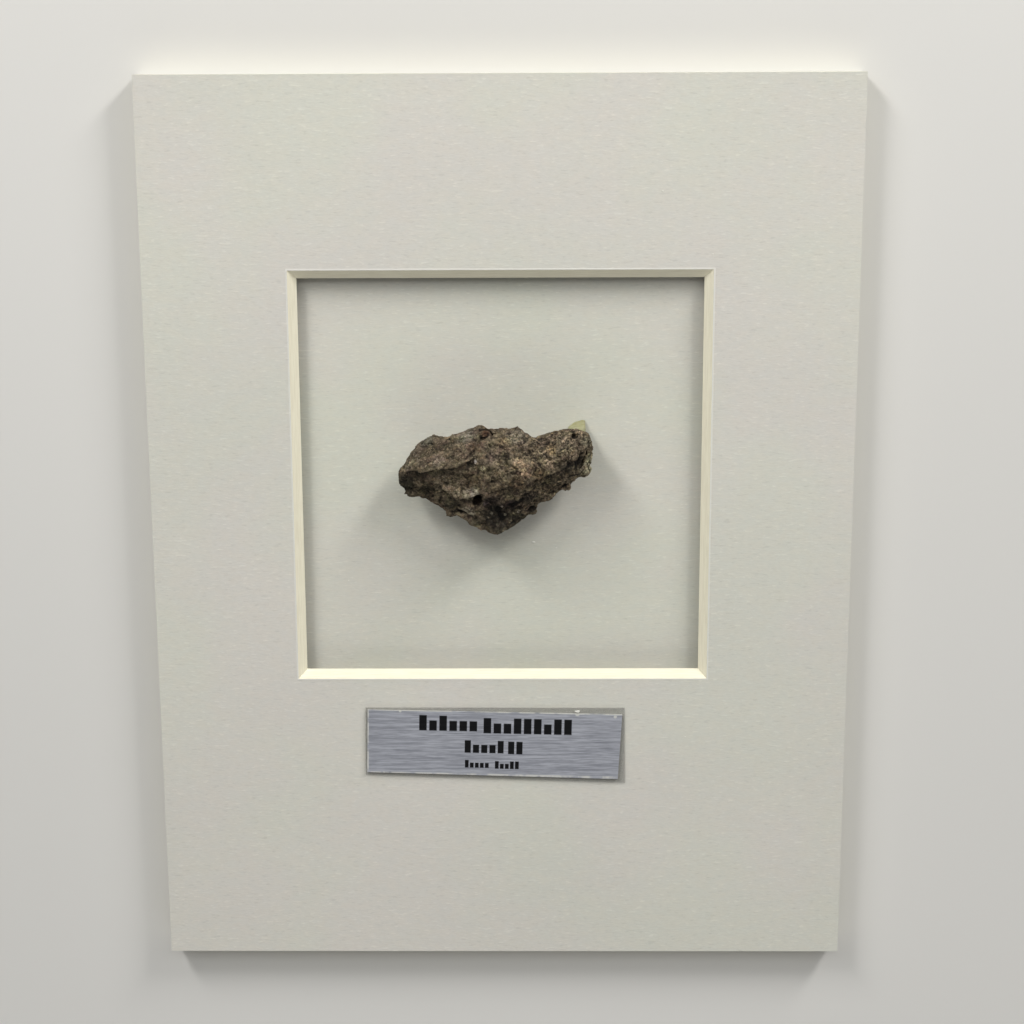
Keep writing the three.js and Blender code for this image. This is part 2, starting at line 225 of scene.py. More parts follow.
# Printed lines of the label, kept as rows of plain blocks: left, right, top and bottom
LABEL_LINES = [
    (-14.5, -4.4, -32.1, -34.9),
    (-3.4, 12.1, -32.4, -35.2),
    (-6.6, 0.2, -36.5, -38.8),
    (0.9, 3.7, -36.6, -38.9),
    (-6.5, -2.2, -40.1, -41.5),
    (-1.3, 3.0, -40.2, -41.6),
]
LABEL_CENTRE = (-1.0, -37.0, 0.0)
LABEL_TILT = math.radians(-1.3)
BLOCK_PITCH = 0.62
BLOCK_SHARE = 0.76
LOW_BLOCK = 0.66

# The plate's left, upper and lower edges, turned with the label
PLATE_LEFT = -23.3
PLATE_UPPER = -31.25
PLATE_LOWER = -42.75

# Bright spots on the plate's edge: place and radius
PLATE_BRIGHT_SPOTS = [
    ((12.9, -31.6), 0.55),
    ((-17.6, -31.1), 0.30),
    ((19.4, -32.2), 0.35),
    ((-20.6, -42.3), 0.28),
    ((-17.6, -42.4), 0.32),
]

# Glue: mesh step and smoothing, the middle of its foot, its height, how much wider than
# the plain dab its foot and its top are, how much lower it is at the side away from the stone, and
# how much higher under the stone
GLUE_STEP = 0.12
GLUE_SMOOTHING = 4
GLUE_FOOT = (12.9, 17.3, 1.5)
GLUE_HEIGHT = 3.7
GLUE_SPREAD = 1.45
GLUE_FLARE = 1.0
GLUE_LOWERING = 0.45
GLUE_RISE = 0.42

# Paper crumbs that lie on the boards and the label: place and length
CRUMBS = [
    ((26.5, 57.2, MAT_TOP), 0.35),
    ((34.8, 47.0, MAT_TOP), 0.30),
    ((5.4, -2.2, BACKING_TOP), 0.75),
    ((9.3, -3.2, BACKING_TOP), 0.35),
    ((-26.0, -8.0, MAT_TOP), 0.25),
    ((31.5, -36.0, MAT_TOP), 0.25),
    ((12.9, -31.2, PLATE_TOP), 1.1),
]

# Lights: place, width, height, power in watts, colour
LIGHTS = {
    "light_upper_right": ((350, 470, 270), 100, 240, 2.27, (1.0, 0.982, 0.957)),
    "light_upper_left": ((-310, 470, 340), 110, 260, 2.11, (1.0, 0.982, 0.957)),
    "light_wide": ((0, 330, 560), 1300, 200, 1.51, (0.985, 0.99, 0.968)),
    "light_low": ((40, -470, 260), 600, 200, 0.62, (1.0, 0.985, 0.95)),
}
AMBIENT_COLOUR = (0.98, 0.99, 1.0, 1.0)
AMBIENT_STRENGTH = 0.12


def linear(hex_colour, scale=1.0):
    """An sRGB colour such as "8a7a66" as linear red, green, blue, alpha."""
    channels = [int(hex_colour[i:i + 2], 16) / 255 for i in (0, 2, 4)]
    return tuple(scale * ((c + 0.055) / 1.055) ** 2.4 for c in channels) + (1.0,)


# Shader helpers

def set_input(tree, socket, value):
    if isinstance(value, bpy.types.NodeSocket):
        tree.links.new(value, socket)
    else:
        socket.default_value = value


def calculate(tree, operation, *values, clamp=False):
    made = tree.nodes.new("ShaderNodeMath")
    made.operation = operation
    made.use_clamp = clamp
    for socket, value in zip(made.inputs, values):
        set_input(tree, socket, value)
    return made.outputs["Value"]


def millimetres(tree):
    """The part's own coordinates in millimetres."""
    place = tree.nodes.new("ShaderNodeTexCoord").outputs["Object"]
    return stretch(tree, place, (1000, 1000, 1000))


def stretch(tree, place, scale):
    made = tree.nodes.new("ShaderNodeVectorMath")
    made.operation = "MULTIPLY"
    set_input(tree, made.inputs[0], place)
    made.inputs[1].default_value = scale
    return made.outputs["Vector"]


def axes_of(tree, vector):
    made = tree.nodes.new("ShaderNodeSeparateXYZ")
    set_input(tree, made.inputs["Vector"], vector)
    return made.outputs["X"], made.outputs["Y"], made.outputs["Z"]


def cloud(tree, place, scale, detail=2.0, roughness=0.5):
    """Smooth noise from 0 to 1. Scale is one over the size of its lumps."""
    made = tree.nodes.new("ShaderNodeTexNoise")
    set_input(tree, made.inputs["Vector"], place)
    made.inputs["Scale"].default_value = scale
    made.inputs["Detail"].default_value = detail
    made.inputs["Roughness"].default_value = roughness
    return made.outputs["Fac"]


def grains(tree, place, scale):
    """Distance to the nearest grain's centre, and each grain's own random colour."""
    made = tree.nodes.new("ShaderNodeTexVoronoi")
    set_input(tree, made.inputs["Vector"], place)
    made.inputs["Scale"].default_value = scale
    return made.outputs["Distance"], made.outputs["Color"]


def warp(tree, place, scale, reach):
    """Places pushed about by noise, up to the given reach in millimetres."""
    made = tree.nodes.new("ShaderNodeTexNoise")
    set_input(tree, made.inputs["Vector"], place)
    made.inputs["Scale"].default_value = scale
    made.inputs["Detail"].default_value = 2.0
    shift = tree.nodes.new("ShaderNodeVectorMath")
    shift.operation = "MULTIPLY_ADD"
    set_input(tree, shift.inputs[0], made.outputs["Color"])
    shift.inputs[1].default_value = (2 * reach, 2 * reach, 2 * reach)
    set_input(tree, shift.inputs[2], place)
    return shift.outputs["Vector"]


def between(tree, value, low, high, out_low=0.0, out_high=1.0):
    """A soft step as value goes from low to high."""
    made = tree.nodes.new("ShaderNodeMapRange")
    made.interpolation_type = "SMOOTHSTEP"
    set_input(tree, made.inputs["Value"], value)
    made.inputs["From Min"].default_value = low
    made.inputs["From Max"].default_value = high
    made.inputs["To Min"].default_value = out_low
    made.inputs["To Max"].default_value = out_high
    return made.outputs["Result"]


def blend(tree, share, first, second, mode="MIX"):
    made = tree.nodes.new("ShaderNodeMix")
    made.data_type = "RGBA"
    made.blend_type = mode
    set_input(tree, made.inputs["Factor"], share)
    set_input(tree, made.inputs[6], first)
    set_input(tree, made.inputs[7], second)
    return made.outputs[2]


def grey(tree, value):
    """A grey colour of the given brightness."""
    made = tree.nodes.new("ShaderNodeCombineColor")
    for name in ("Red", "Green", "Blue"):
        set_input(tree, made.inputs[name], value)
    return made.outputs["Color"]


def attribute(tree, name, output="Fac"):
    made = tree.nodes.new("ShaderNodeAttribute")
    made.attribute_name = name
    return made.outputs[output]


def bump(tree, height, distance, strength, normal=None):
    made = tree.nodes.new("ShaderNodeBump")
    made.inputs["Strength"].default_value = strength
    made.inputs["Distance"].default_value = distance
    set_input(tree, made.inputs["Height"], height)
    if normal is not None:
        set_input(tree, made.inputs["Normal"], normal)
    return made.outputs["Normal"]


def new_material(name):
    material = bpy.data.materials.new(name)
    material.use_nodes = True
    tree = material.node_tree
    return material, tree, tree.nodes["Principled BSDF"]


def turned(tree, place, angle, centre=(0.0, 0.0, 0.0)):
    """Places turned about an upright axis, so that x runs along a line at the given angle."""
    made = tree.nodes.new("ShaderNodeVectorRotate")
    made.rotation_type = "Z_AXIS"
    made.inputs["Angle"].default_value = -angle
    made.inputs["Center"].default_value = centre
    set_input(tree, made.inputs["Vector"], place)
    return made.outputs["Vector"]


def box_distance(tree, place):
    """How far a point lies outside the window's edge, in millimetres."""
    x, y, _ = axes_of(tree, place)
    across = calculate(tree, "ABSOLUTE", calculate(tree, "SUBTRACT", x, WINDOW_CENTRE[0]))
    up = calculate(tree, "ABSOLUTE", calculate(tree, "SUBTRACT", y, WINDOW_CENTRE[1]))
    return calculate(tree, "SUBTRACT", calculate(tree, "MAXIMUM", across, up), WINDOW_HALF)


# Paper of the two boards

def paper_group():
    """Short flattened fibres and slow clouds, shared by both boards."""
    tree = bpy.data.node_groups.new("paper_fibres", "ShaderNodeTree")
    tree.interface.new_socket("Place", in_out="INPUT", socket_type="NodeSocketVector")
    tree.interface.new_socket("Tint", in_out="OUTPUT", socket_type="NodeSocketColor")
    tree.interface.new_socket("Height", in_out="OUTPUT", socket_type="NodeSocketFloat")
    place = tree.nodes.new("NodeGroupInput").outputs["Place"]
    flecks = cloud(tree, stretch(tree, place, (0.75, 3.2, 3.2)), 1.0, 2.0)
    short = cloud(tree, stretch(tree, place, (1.3, 5.5, 5.5)), 1.0, 1.0)
    pale = between(tree, flecks, 0.60, 0.74)
    dark = between(tree, flecks, 0.40, 0.26)
    fine = between(tree, short, 0.3, 0.7, -0.02, 0.02)
    slow = cloud(tree, place, 0.035, 3.0)
    slower = cloud(tree, stretch(tree, place, (0.02, 0.03, 0.03)), 1.0, 2.0)
    blotch = cloud(tree, stretch(tree, place, (0.4, 0.7, 0.7)), 1.0, 3.0, 0.6)
    tone = calculate(tree, "MULTIPLY_ADD", pale, 0.10, 1.0)
    tone = calculate(tree, "MULTIPLY_ADD", dark, -0.085, tone)
    tone = calculate(tree, "ADD", tone, fine)
    warm = blend(tree, between(tree, slow, 0.35, 0.65), (1.0, 0.985, 0.995, 1), (0.985, 1.0, 0.975, 1))
    warm = blend(tree, between(tree, slower, 0.3, 0.7), warm, (0.975, 0.975, 0.98, 1), "MULTIPLY")
    warm = blend(tree, between(tree, blotch, 0.35, 0.65), warm,
                 blend(tree, 1.0, warm, (1.018, 1.004, 0.99, 1), "MULTIPLY"))
    tint = blend(tree, 1.0, warm, grey(tree, tone), "MULTIPLY")
    height = calculate(tree, "ADD", flecks, calculate(tree, "MULTIPLY", short, 0.5))
    output = tree.nodes.new("NodeGroupOutput")
    tree.links.new(tint, output.inputs["Tint"])
    tree.links.new(height, output.inputs["Height"])
    return tree


def paper(tree, group, place):
    made = tree.nodes.new("ShaderNodeGroup")
    made.node_tree = group
    set_input(tree, made.inputs["Place"], place)
    return made.outputs["Tint"], made.outputs["Height"]


def mat_material(group):
    """Grey-white face paper, its cream core where cut, a painted highlight on the lip, and painted
    shade under the mat.
    """
    material, tree, surface = new_material("mat_board")
    place = millimetres(tree)
    tint, height = paper(tree, group, place)
    outside = box_distance(tree, place)
    normal_z = axes_of(tree, tree.nodes.new("ShaderNodeNewGeometry").outputs["Normal"])[2]
    core = between(tree, normal_z, 0.97, 0.9)
    face = blend(tree, 1.0, linear("d4d3cb"), tint, "MULTIPLY")
    # Painted highlight: a paler band just outside the window's cut edge, as where the edge catches the
    # light; the same band is raised a little in the bump
    lip_far = between(tree, outside, 0.32, 0.16)
    lip_near = between(tree, outside, -0.02, 0.02)
    highlit_lip = calculate(tree, "MULTIPLY", lip_far, lip_near)
    face = blend(tree, calculate(tree, "MULTIPLY", highlit_lip, 0.55), face, linear("e9e8e2"))
    layers = cloud(tree, stretch(tree, place, (0.25, 0.25, 9.0)), 1.0, 2.0)
    cream = blend(tree, between(tree, layers, 0.35, 0.7), linear("f8f3dd"), linear("efe9d2"))
    colour = blend(tree, core, face, cream)
    up = axes_of(tree, place)[2]
    # Painted shade: dark grey on the mat's underside and set-back lower layer near the window, to
    # deepen the shade under its edge
    lining_shade = calculate(tree, "MULTIPLY", between(tree, up, LINING_TOP + 0.02, LINING_TOP - 0.04),
                       between(tree, outside, LINING_REACH + 1.0, LINING_REACH))
    colour = blend(tree, lining_shade, colour, linear("5a564e"))
    set_input(tree, surface.inputs["Base Color"], colour)
    surface.inputs["Roughness"].default_value = 0.85
    surface.inputs["Specular IOR Level"].default_value = 0.3
    relief = calculate(tree, "ADD", height, calculate(tree, "MULTIPLY", highlit_lip, 1.2))
    set_input(tree, surface.inputs["Normal"], bump(tree, relief, 0.00004, 0.5))
    return material


def backing_material(group):
    """The same paper, a little greener and smoother."""
    material, tree, surface = new_material("backing_board")
    place = millimetres(tree)
    tint, height = paper(tree, group, stretch(tree, place, (0.9, 1.1, 1.0)))
    colour = blend(tree, 1.0, linear("d2d2c8"), tint, "MULTIPLY")
    set_input(tree, surface.inputs["Base Color"], colour)
    surface.inputs["Roughness"].default_value = 0.8
    surface.inputs["Specular IOR Level"].default_value = 0.3
    set_input(tree, surface.inputs["Normal"], bump(tree, height, 0.00003, 0.4))
    return material


# Label

def film_material():
    material, tree, surface = new_material("clear_film")
    place = millimetres(tree)
    wrinkle = cloud(tree, stretch(tree, place, (0.6, 1.4, 1.0)), 1.0, 2.0)
    surface.inputs["Base Color"].default_value = linear("a8a8a2")
    surface.inputs["Alpha"].default_value = 0.34
    surface.inputs["Roughness"].default_value = 0.12
    set_input(tree, surface.inputs["Normal"], bump(tree, wrinkle, 0.0001, 0.4))
    return material


def turned_with_label(tree, place):
    """Coordinates along and up the plate, in millimetres."""
    return axes_of(tree, turned(tree, place, LABEL_TILT, LABEL_CENTRE))[:2]


def print_mask(tree, place):
    """Where the print is: each line is a row of plain blocks, some low and some tall."""
    x, y = turned_with_label(tree, place)
    mask = 0.0
    for left, right, top, bottom in LABEL_LINES:
        from_left = calculate(tree, "SUBTRACT", x, left)
        steps = calculate(tree, "DIVIDE", from_left, BLOCK_PITCH * (top - bottom))
        number = calculate(tree, "FLOOR", steps)
        part = calculate(tree, "FRACT", steps)
        choice = tree.nodes.new("ShaderNodeTexWhiteNoise")
        choice.noise_dimensions = "1D"
        set_input(tree, choice.inputs["W"], calculate(tree, "ADD", number, left))
        tall = calculate(tree, "MAXIMUM", between(tree, choice.outputs["Value"], 0.66, 0.68),
                         between(tree, number, 0.6, 0.4))
        level = calculate(tree, "DIVIDE", calculate(tree, "SUBTRACT", y, bottom), top - bottom)
        limit = calculate(tree, "MULTIPLY_ADD", tall, 1 - LOW_BLOCK, LOW_BLOCK)
        above = calculate(tree, "SUBTRACT", level, limit)
        block = calculate(tree, "MULTIPLY", between(tree, part, 0.0, 0.06),
                          between(tree, part, BLOCK_SHARE + 0.06, BLOCK_SHARE))
        block = calculate(tree, "MULTIPLY", block, between(tree, above, 0.03, -0.03))
        block = calculate(tree, "MULTIPLY", block, between(tree, level, -0.03, 0.03))
        inside = calculate(tree, "MULTIPLY", between(tree, x, left - 0.05, left + 0.05),
                           between(tree, x, right + 0.05, right - 0.05))
        mask = calculate(tree, "MAXIMUM", mask, calculate(tree, "MULTIPLY", block, inside))
    return mask


def plate_edge_highlight(tree, place):
    """Painted highlight: bright lines along the plate's cut edges at the top, left and bottom, as where
    they catch the light, broken up by noise; and bright spots on its edge.
    """
    x, y = turned_with_label(tree, place)
    from_left = calculate(tree, "SUBTRACT", x, PLATE_LEFT)
    from_upper = calculate(tree, "SUBTRACT", PLATE_UPPER, y)
    from_lower = calculate(tree, "SUBTRACT", y, PLATE_LOWER)
    inward = calculate(tree, "MINIMUM", from_left,
                       calculate(tree, "MINIMUM", from_upper, from_lower))
    # Noise that breaks the painted highlight into pieces along the edge
    worn = cloud(tree, place, 0.5, 3.0)
    line = calculate(tree, "MULTIPLY", between(tree, inward, 0.28, 0.10),
                     between(tree, worn, 0.35, 0.55))
    across, up, _ = axes_of(tree, place)
    for (spot_x, spot_y), radius in PLATE_BRIGHT_SPOTS:
        along = calculate(tree, "POWER", calculate(tree, "SUBTRACT", across, spot_x), 2.0)
        over = calculate(tree, "POWER", calculate(tree, "SUBTRACT", up, spot_y), 2.0)
        far = calculate(tree, "SQRT", calculate(tree, "ADD", along, over))
        line = calculate(tree, "MAXIMUM", line, between(tree, far, radius, 0.6 * radius))
    return line


def plate_material():
    """Silver film with long brushed streaks, painted highlights along its edges and the print."""
    material, tree, surface = new_material("brushed_plate")
    place = millimetres(tree)
    long_streak = cloud(tree, stretch(tree, place, (0.10, 3.2, 1.0)), 1.0, 3.0, 0.6)
    short_streak = cloud(tree, stretch(tree, place, (0.35, 7.0, 1.0)), 1.0, 2.0, 0.6)
    streak = calculate(tree, "ADD", long_streak, short_streak)
    brushed = blend(tree, between(tree, streak, 0.7, 1.3), linear("a2a5b0"), linear("d7dae4"))
    # Near white on the bright spots, and along the plate's edges as a painted highlight
    brushed = blend(tree, plate_edge_highlight(tree, place), brushed, linear("f6f6f2"))
    ink = print_mask(tree, place)
    colour = blend(tree, calculate(tree, "MULTIPLY", ink, 0.99), brushed, linear("060607"))
    set_input(tree, surface.inputs["Base Color"], colour)
    set_input(tree, surface.inputs["Metallic"], between(tree, ink, 0.0, 1.0, 0.55, 0.0))
    set_input(tree, surface.inputs["Specular IOR Level"], between(tree, ink, 0.0, 1.0, 0.5, 0.1))
    set_input(tree, surface.inputs["Roughness"], between(tree, ink, 0.0, 1.0, 0.42, 0.8))
    set_input(tree, surface.inputs["Normal"], bump(tree, streak, 0.00003, 0.4))
    return material


# Stone

def stone_material():
    """Grainy breccia: the mesh brings its patches, a painted highlight on its edges and painted shade
    in its hollows, noise brings the grains.
    """
    material, tree, surface = new_material("meteorite")
    place = millimetres(tree)
    bent = warp(tree, place, 1.6, 0.18)
    coarse_far, coarse_colour = grains(tree, bent, 1.3)
    grain_far, grain_colour = grains(tree, bent, 2.5)
    fine_far, fine_colour = grains(tree, bent, 4.4)
    coarse = axes_of(tree, coarse_colour)
    grain = axes_of(tree, grain_colour)
    fine = axes_of(tree, fine_colour)
    mottle = cloud(tree, place, 0.6, 4.0, 0.65)
    speckle = cloud(tree, place, 3.4, 3.0, 0.75)
    hue = cloud(tree, stretch(tree, place, (0.45, 0.6, 0.6)), 1.0, 3.0, 0.6)
    tone = between(tree, mottle, 0.32, 0.68, 0.60, 1.24)
    along_streaks = turned(tree, place, STREAK_ANGLE)
    streaks = cloud(tree, stretch(tree, along_streaks, (0.35, 1.4, 1.4)), 1.0, 3.0, 0.6)
    tone = calculate(tree, "MULTIPLY", tone, between(tree, streaks, 0.35, 0.65, 0.74, 1.30))
    tone = calculate(tree, "MULTIPLY", tone, between(tree, coarse[0], 0.0, 1.0, 0.70, 1.32))
    gritty = between(tree, axes_of(tree, place)[0], -6.0, 9.0, WEST_GRIT, EAST_GRIT)
    levels = (
        (between(tree, speckle, 0.36, 0.64, -1.0, 1.0), 0.46),
        (between(tree, grain[0], 0.1, 0.9, -1.0, 1.0), 0.42),
        (between(tree, fine[0], 0.1, 0.9, -1.0, 1.0), 0.30),
    )
    for level, reach in levels:
        factor = calculate(tree, "MULTIPLY_ADD", level, calculate(tree, "MULTIPLY", gritty, reach), 1.0)
        tone = calculate(tree, "MULTIPLY", tone, factor)
    tint = attribute(tree, "tint", "Color")
    olive = blend(tree, 1.0, tint, (0.95, 1.01, 0.90, 1), "MULTIPLY")
    purple = blend(tree, 1.0, tint, (1.04, 0.95, 1.03, 1), "MULTIPLY")
    rusty = blend(tree, 1.0, tint, (1.08, 0.98, 0.88, 1), "MULTIPLY")
    turn = calculate(tree, "MULTIPLY_ADD", coarse[2], 0.16, calculate(tree, "SUBTRACT", hue, 0.08))
    colour = blend(tree, between(tree, turn, 0.53, 0.62), tint, olive)
    colour = blend(tree, between(tree, turn, 0.47, 0.38), colour, purple)
    colour = blend(tree, between(tree, grain[1], 0.7, 0.9, 0.0, 0.8), colour, rusty)
    colour = blend(tree, 1.0, colour, grey(tree, tone), "MULTIPLY")
    pale = calculate(tree, "MULTIPLY", between(tree, grain[2], 0.86, 0.90),
                     between(tree, grain_far, 0.5, 0.4))
    speck = calculate(tree, "MULTIPLY", between(tree, fine[2], 0.86, 0.90),
                      between(tree, fine_far, 0.55, 0.45))
    pale = calculate(tree, "MAXIMUM", pale, speck)
    lighter = blend(tree, 1.0, tint, (1.9, 1.9, 1.9, 1), "MULTIPLY")
    lighter = blend(tree, 1.0, lighter, (0.024, 0.023, 0.019, 1), "ADD")
    colour = blend(tree, calculate(tree, "MULTIPLY", pale, 0.75), colour, lighter)
    # Painted highlight: ridges and the rims of broken edges painted lighter
    colour = blend(tree, calculate(tree, "MULTIPLY", attribute(tree, "ridge_highlight"), 0.28), colour, lighter)
    dark = calculate(tree, "MULTIPLY", between(tree, coarse[1], 0.82, 0.86),
                     between(tree, coarse_far, 0.5, 0.35))
    colour = blend(tree, calculate(tree, "MULTIPLY", dark, 0.5), colour, linear("1d1812"))
    # Painted shade: pits, hollows and the ground under ledges darkened nearly to black, with the darker
    # seams between grains
    hollow_shade = calculate(tree, "MULTIPLY", attribute(tree, "hollow_shade_and_seams"), 0.93)
    colour = blend(tree, hollow_shade, colour, linear("0c0a07"))
    set_input(tree, surface.inputs["Base Color"], colour)
    set_input(tree, surface.inputs["Roughness"], between(tree, speckle, 0.3, 0.7, 0.62, 0.92))
    surface.inputs["Specular IOR Level"].default_value = 0.18
    height = calculate(tree, "MULTIPLY_ADD", grain_far, -0.35, speckle)
    height = calculate(tree, "MULTIPLY_ADD", fine_far, -0.15, height)
    set_input(tree, surface.inputs["Normal"], bump(tree, height, 0.00022, 0.9))
    return material


def smooth_step(value, low, high):
    share = np.clip((value - low) / (high - low), 0.0, 1.0)
    return share * share * (3 - 2 * share)


def random_at(cells, seed):
    """A repeatable number from 0 to 1 for each whole-numbered cell."""
    mixed = cells[:, 0] * 73856093 ^ cells[:, 1] * 19349663 ^ cells[:, 2] * 83492791 ^ seed * 26544357
    mixed = (mixed ^ (mixed >> 15)) * 22695477 & 0xFFFFFFFF
    mixed = (mixed ^ (mixed >> 13)) * 12820163 & 0xFFFFFFFF
    return ((mixed ^ (mixed >> 16)) & 0xFFFF) / 65535


def lumps(points, size, seed):
    """Smooth noise from about -1 to 1 with lumps of the given size."""
    scaled = points / size + seed * 7.31
    base = np.floor(scaled).astype(np.int64)
    inside = scaled - base
    fade = inside ** 3 * (inside * (inside * 6 - 15) + 10)
    total = np.zeros(len(points))
    for corner in np.ndindex(2, 2, 2):
        offset = np.array(corner)
        cell = base + offset
        slope = np.stack([random_at(cell, seed + axis) for axis in (11, 12, 13)], axis=1) * 2 - 1
        height = np.sum(slope * (inside - offset), axis=1)
        total += height * np.prod(np.where(offset, fade, 1 - fade), axis=1)
    return total * 1.6


def layered(points, size, seed, layers=3, roughness=0.5):
    """Noise on top of finer noise, each layer half the size of the one before."""
    total = np.zeros(len(points))
    for layer in range(layers):
        total += roughness ** layer * lumps(points, size / 2 ** layer, seed + 20 * layer)
    return total


def grains_at(points, size, seed):
    """Distance to the nearest and second nearest grain centre, the nearest grain's number, and
    its own tilted plane's height."""
    scaled = points / size
    base = np.floor(scaled).astype(np.int64)
    nearest = np.full(len(points), 9.0)
    second = np.full(len(points), 9.0)
    number = np.zeros(len(points))
    plane = np.zeros(len(points))
    for step in np.ndindex(3, 3, 3):
        cell = base + np.array(step) - 1
        centre = cell + np.stack([random_at(cell, seed + axis) for axis in (1, 2, 3)], axis=1)
        far = np.sqrt(np.sum((scaled - centre) ** 2, axis=1))
        tilt = np.stack([random_at(cell, seed + axis) for axis in (5, 6, 7)], axis=1) * 2 - 1
        closer = far < nearest
        second = np.where(closer, nearest, np.minimum(second, far))
        number = np.where(closer, random_at(cell, seed + 4), number)
        plane = np.where(closer, np.sum(tilt * (scaled - centre), axis=1), plane)
        nearest = np.where(closer, far, nearest)
    return nearest, second, number, plane


def ledge_relief(points):
    """Height in mm, painted shade below and painted highlight along the stone's broken edges."""
    height = np.zeros(len(points))
    dark = np.zeros(len(points))
    pale = np.zeros(len(points))
    wobble = 0.3 * layered(points, 1.5, 90)
    broken = np.clip(0.8 + 0.7 * layered(points, 1.8, 93), 0.2, 1.1)
    upper = smooth_step(points[:, 2], LEDGE_FOOT, LEDGE_FOOT + 1.0)
    for drop, width, darkness, line in STONE_LEDGES:
        line = np.array(line)
        south = np.interp(points[:, 0], line[:, 0], line[:, 1]) + wobble - points[:, 1]
        along = np.minimum(points[:, 0] - line[0, 0], line[-1, 0] - points[:, 0])
        inside = upper * smooth_step(along, -0.3, 0.9)
        fading = smooth_step(south, width, 0.3 * width)
        height -= drop * inside * fading * smooth_step(south, -0.1, 0.35)
        # Painted shade below the edge, and painted highlight along its rim
        shade = inside * broken * smooth_step(south, width, 0.5) * smooth_step(south, 0.0, 0.3)
        dark = np.maximum(dark, darkness * shade)
        pale = np.maximum(pale, inside * broken * smooth_step(np.abs(south + 0.15), 0.35, 0.05))
    return height, dark, pale


def segment_distance(points, start, end):
    """How far each point lies from the straight line between two places."""
    along = end - start
    share = np.clip((points - start) @ along / max(along @ along, 1e-6), 0.0, 1.0)
    return np.linalg.norm(points - start - share[:, None] * along, axis=1)


def pit_relief(points):
    """Height in mm of the stone's own pits, grooves and knobs, and the painted shade in the pits and
    grooves.
    """
    height = np.zeros(len(points))
    dark = np.zeros(len(points))
    ragged = 0.45 * layered(points, 0.7, 91)
    for start, end, radius, depth, darkness in STONE_PITS:
        far = segment_distance(points, np.array(start), np.array(end)) / radius + ragged
        share = smooth_step(far, 1.25, 0.5)
        height -= depth * share
        dark = np.maximum(dark, darkness * share)
    for place, radius, rise in STONE_KNOBS:
        far = np.linalg.norm(points - np.array(place), axis=1) / radius + ragged
        height += rise * smooth_step(far, 1.3, 0.4)
    return height, dark


def stone_relief(points):
    """Height over the smooth stone in mm; painted shade in pits, hollows and under ledges, with the
    darker seams between grains; and the painted highlight along edges.
    """
    warped = points + 0.3 * np.stack([lumps(points, 0.9, seed) for seed in (31, 32, 33)], axis=1)
    swell = 0.15 * layered(points, 2.2, 1)
    rough = 0.06 * layered(points, 0.5, 2, 3, 0.65)
    _, _, _, facet = grains_at(warped, 2.6, 70)
    near, second, number, chip = grains_at(warped, 1.2, 40)
    seam = smooth_step(second - near, 0.10, 0.0) * smooth_step(number, 0.4, 0.6)
    _, _, _, crumb = grains_at(warped, 0.6, 50)
    pit_near, _, pit_number, _ = grains_at(points, 1.6, 60)
    pit = smooth_step(pit_number, 0.86, 0.90) * smooth_step(pit_near, 0.30, 0.10)
    ledge, shade, pale = ledge_relief(points)
    hole, hollow_shade = pit_relief(points)
    height = swell + rough + 0.26 * facet + 0.17 * chip + 0.08 * crumb
    height += ledge + hole - 0.07 * seam - 0.2 * pit
    return height, np.maximum.reduce([0.7 * pit, 0.45 * seam, hollow_shade, shade]), pale


def stone_tint(points):
    """The stone's colour at each point, from its soft patches and its single grains."""
    colour = np.tile(np.array(linear(STONE_BASE)), (len(points), 1))
    jitter = 0.3 * layered(points, 1.6, 6)
    for place, radius, patch in STONE_TINTS:
        far = np.linalg.norm(points - np.array(place), axis=1) / radius + jitter
        share = TINT_STRENGTH * smooth_step(far, 1.35, 0.45)[:, None]
        colour += share * (np.array(linear(patch)) - colour)
    edge = 0.3 * lumps(points, 0.35, 7)
    upper = smooth_step(points[:, 2], LEDGE_FOOT, LEDGE_FOOT + 1.0)
    for place, radius, patch in STONE_GRAINS:
        across = np.linalg.norm((points - np.array(place))[:, :2], axis=1)
        share = 0.85 * (upper * smooth_step(across / radius + edge, 1.2, 0.8))[:, None]
        colour += share * (np.array(linear(patch)) - colour)
    return TINT_GAIN * colour ** TINT_CONTRAST


def neighbour_mean(values, edges, degree):
    """The average of each vertex's neighbours."""
    total = np.zeros_like(values)
    for axis in range(3):
        total[:, axis] = np.bincount(edges[:, 0], values[edges[:, 1], axis], len(values))
        total[:, axis] += np.bincount(edges[:, 1], values[edges[:, 0], axis], len(values))
    return total / degree[:, None]


def height_over_surroundings(mesh, places, normals, rounds):
    """How far each vertex stands above a smoothed copy of the surface."""
    edges = np.empty(len(mesh.edges) * 2, np.int32)
    mesh.edges.foreach_get("vertices", edges)
    edges = edges.reshape(-1, 2)
    degree = np.bincount(edges.ravel(), minlength=len(places))
    smooth = places.copy()
    for _ in range(rounds):
        smooth = neighbour_mean(smooth, edges, degree)
    return np.sum((places - smooth) * normals, axis=1)


def remeshed(name, source, step, smoothing):
    """A new object with an even, smoothed mesh of the source's shape."""
    made = bpy.data.objects.new(name, source.data.copy())
    bpy.context.scene.collection.objects.link(made)
    even = made.modifiers.new("even", "REMESH")
    even.mode = "VOXEL"
    even.voxel_size = step * MM
    even.use_smooth_shade = True
    worn = made.modifiers.new("worn", "SMOOTH")
    worn.iterations = smoothing
    worn.factor = 0.5
    graph = bpy.context.evaluated_depsgraph_get()
    mesh = bpy.data.meshes.new_from_object(made.evaluated_get(graph))
    made.modifiers.clear()
    made.data = mesh
    mesh.materials.clear()
    return made


def clip_to_node(points, node, above=0.0):
    """Keeps points, in metres, inside the CAD node's own box, or the given millimetres above it."""
    low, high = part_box(node)
    return np.clip(points, np.array(low), np.array(high) + (0, 0, above * MM))


def read_vectors(items, name):
    """A per-vertex vector of a mesh as rows of three."""
    values = np.empty(len(items) * 3, np.float32)
    items.foreach_get(name, values)
    return values.reshape(-1, 3).astype(float)


